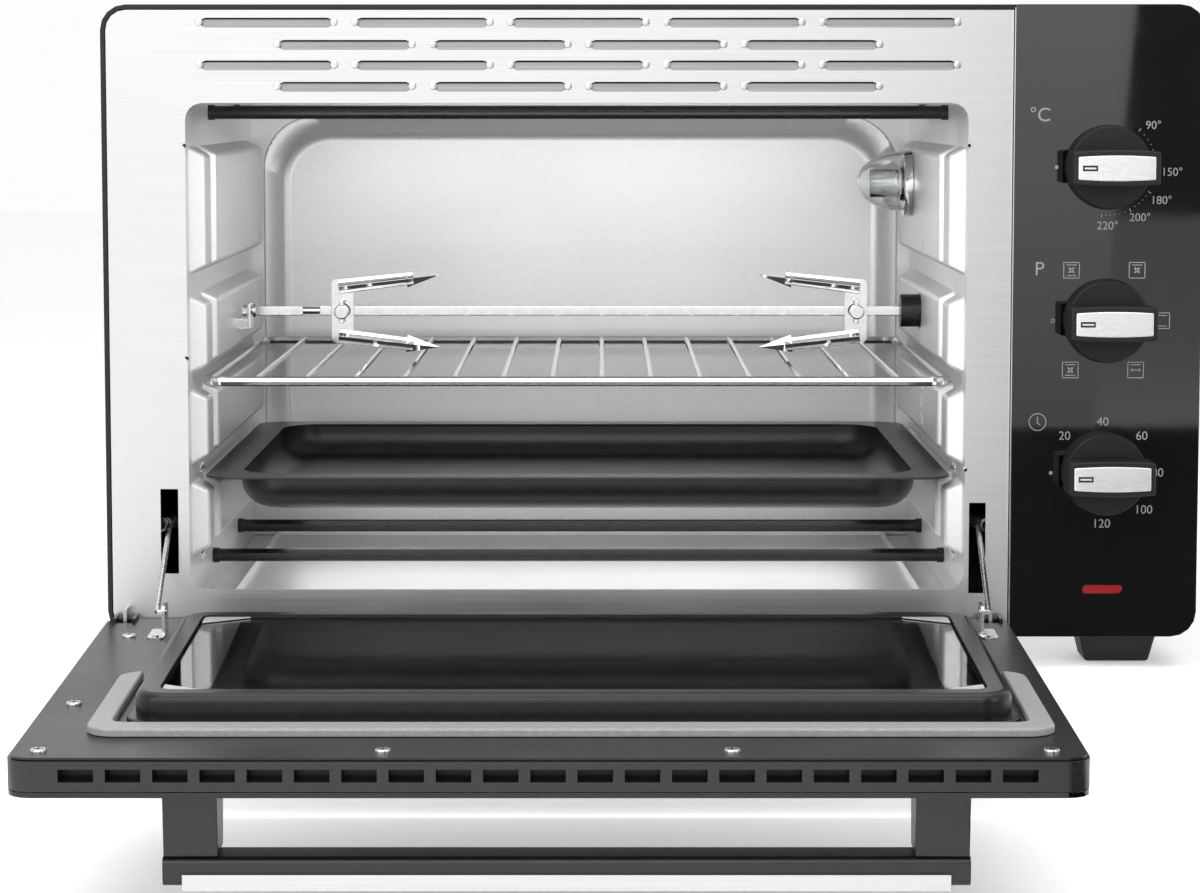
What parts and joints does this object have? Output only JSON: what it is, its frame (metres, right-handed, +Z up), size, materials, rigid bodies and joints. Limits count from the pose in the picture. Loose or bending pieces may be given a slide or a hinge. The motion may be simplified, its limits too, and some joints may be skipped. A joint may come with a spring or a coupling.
{
  "type": "rotisserie oven",
  "caption": "Countertop rotisserie oven with a drop-down glazed door, louvred steel front, side control panel, spit with forks, wire rack and baking tray.",
  "frame": {"origin": "middle of the pressed panel under the base plate, between the feet", "axes": "+X to the control panel side, +Y to the back, +Z up; the front faces -Y"},
  "size_m": [0.52, 0.6517, 0.3611],
  "materials": {
    "black_paint": "satin black powder coat on sheet steel",
    "brushed_steel": "stainless steel brushed along its length",
    "aluminised_steel": "pressed aluminised sheet, soft satin",
    "chrome": "bright chrome plate",
    "spring_steel": "zinc plated wire",
    "heater_sheath": "oxidised dark steel sheath",
    "mechanism_metal": "plain pressed metal",
    "motor_iron": "laminated iron core",
    "black_plastic": "fine grained heat resistant plastic",
    "door_plastic": "satin black moulded frame",
    "gloss_black": "high gloss black",
    "silver_plastic": "silver lacquer on plastic",
    "red_lens": "translucent red",
    "black_enamel": "black vitreous enamel on steel",
    "grey_silicone": "matt grey silicone",
    "foot_rubber": "matt black",
    "clear_glass": "clear moulded glass",
    "dark_glass": "smoked tempered glass, reflective"
  },
  "bodies": {
    "chassis": {"outer_shell": "black_paint", "rear_cover": "black_paint", "base_plate": "aluminised_steel", "front_frame": "brushed_steel", "foot_front_left": "foot_rubber", "foot_front_right": "foot_rubber", "foot_rear_left": "foot_rubber", "foot_rear_right": "foot_rubber", "cable_gland": "black_plastic", "cavity_left_wall": "aluminised_steel", "cavity_right_wall": "aluminised_steel", "cavity_rear_wall": "aluminised_steel", "cavity_roof": "aluminised_steel", "cavity_floor": "aluminised_steel", "heater_top_front": "heater_sheath", "heater_top_rear": "heater_sheath", "heater_bottom_front": "heater_sheath", "heater_bottom_rear": "heater_sheath", "lamp_ring": "chrome", "lamp_glass": "clear_glass", "lamp_bulb": "clear_glass", "spit_rest_bracket": "chrome", "control_bracket": "aluminised_steel", "thermostat_body": "mechanism_metal", "selector_switch_body": "black_plastic", "timer_body": "mechanism_metal", "spit_motor": "mechanism_metal", "fan_motor": "motor_iron", "fan_duct": "aluminised_steel", "control_panel": "gloss_black", "indicator_lens": "red_lens"},
    "door": {"door_frame": "door_plastic", "door_inner_panel": "black_paint", "door_outer_glass": "dark_glass", "door_inner_glass": "dark_glass", "door_seal": "grey_silicone", "handle_post_left": "black_plastic", "handle_post_right": "black_plastic", "handle_bar": "black_plastic", "handle_strip": "brushed_steel"},
    "link_left": {"hinge_link_left": "spring_steel"},
    "link_right": {"hinge_link_right": "spring_steel"},
    "spring_left": {"hinge_spring_left": "spring_steel"},
    "spring_right": {"hinge_spring_right": "spring_steel"},
    "thermostat_dial": {"thermostat_knob": "black_plastic", "thermostat_knob_insert": "silver_plastic"},
    "function_dial": {"function_knob": "black_plastic", "function_knob_insert": "silver_plastic"},
    "timer_dial": {"timer_knob": "black_plastic", "timer_knob_insert": "silver_plastic"},
    "spit": {"spit_shaft": "chrome", "spit_drive_socket": "heater_sheath"},
    "fork_left": {"spit_fork_left": "chrome"},
    "fork_right": {"spit_fork_right": "chrome"},
    "thumb_screw_left": {"fork_screw_left": "chrome"},
    "thumb_screw_right": {"fork_screw_right": "chrome"},
    "rack": {"wire_rack": "chrome"},
    "tray": {"baking_tray": "black_enamel"},
    "crumb_catcher": {"crumb_tray": "aluminised_steel"},
    "fan": {"fan_impeller": "mechanism_metal"}
  },
  "joints": [
    {"name": "door_hinge", "type": "hinge", "parent": "chassis", "child": "door", "pos_m": [0, -0.1795, 0.0101], "axis": [-1, 0, 0], "range_deg": [0, 92.3]},
    {"name": "link_left_pivot", "type": "hinge", "parent": "door", "child": "link_left", "pos_m": [-0.2308, -0.21891, 0.01953], "axis": [1, 0, 0], "range_deg": [0, 57.31]},
    {"name": "link_right_pivot", "type": "hinge", "parent": "door", "child": "link_right", "pos_m": [0.1564, -0.21891, 0.01953], "axis": [1, 0, 0], "range_deg": [0, 57.31]},
    {"name": "spring_left_pull", "type": "slide", "parent": "chassis", "child": "spring_left", "axis": [0, 0.9969, -0.0788], "range_m": [0, 0.06146]},
    {"name": "spring_right_pull", "type": "slide", "parent": "chassis", "child": "spring_right", "axis": [0, 0.9969, -0.0788], "range_m": [0, 0.06146]},
    {"name": "thermostat_turn", "type": "hinge", "parent": "chassis", "child": "thermostat_dial", "pos_m": [0.215, -0.19, 0.2252], "axis": [0, 1, 0], "range_deg": [0, 275]},
    {"name": "function_turn", "type": "hinge", "parent": "chassis", "child": "function_dial", "pos_m": [0.215, -0.19, 0.1527], "axis": [0, 1, 0], "range_deg": [0, 309]},
    {"name": "timer_turn", "type": "hinge", "parent": "chassis", "child": "timer_dial", "pos_m": [0.215, -0.19, 0.0802], "axis": [0, 1, 0], "range_deg": [0, 277]},
    {"name": "spit_spin", "type": "hinge", "parent": "chassis", "child": "spit", "pos_m": [0, -0.02, 0.148], "axis": [1, 0, 0], "continuous": true},
    {"name": "fork_left_slide", "type": "slide", "parent": "spit", "child": "fork_left", "axis": [1, 0, 0], "range_m": [-0.028, 0.09]},
    {"name": "fork_right_slide", "type": "slide", "parent": "spit", "child": "fork_right", "axis": [1, 0, 0], "range_m": [-0.09, 0.012]},
    {"name": "thumb_screw_left_turn", "type": "hinge", "parent": "fork_left", "child": "thumb_screw_left", "pos_m": [-0.1578, -0.03, 0.148], "axis": [0, 1, 0], "range_deg": [-360, 0]},
    {"name": "thumb_screw_right_turn", "type": "hinge", "parent": "fork_right", "child": "thumb_screw_right", "pos_m": [0.1078, -0.03, 0.148], "axis": [0, 1, 0], "range_deg": [-360, 0]},
    {"name": "rack_slide", "type": "slide", "parent": "chassis", "child": "rack", "axis": [0, 1, 0], "range_m": [-0.2, 0]},
    {"name": "tray_slide", "type": "slide", "parent": "chassis", "child": "tray", "axis": [0, 1, 0], "range_m": [-0.2, 0]},
    {"name": "crumb_tray_lift", "type": "slide", "parent": "chassis", "child": "crumb_catcher", "axis": [0, 0, 1], "range_m": [0, 0.005]},
    {"name": "fan_spin", "type": "hinge", "parent": "chassis", "child": "fan", "pos_m": [0.156, 0.047, 0.1355], "axis": [1, 0, 0], "continuous": true}
  ],
  "couplings": [
    {"joint": "link_left_pivot", "follows": "door_hinge", "ratio": 0.6208},
    {"joint": "link_right_pivot", "follows": "door_hinge", "ratio": 0.6208},
    {"joint": "spring_left_pull", "follows": "door_hinge", "m_per_rad": 0.038147},
    {"joint": "spring_right_pull", "follows": "door_hinge", "m_per_rad": 0.038147}
  ]
}
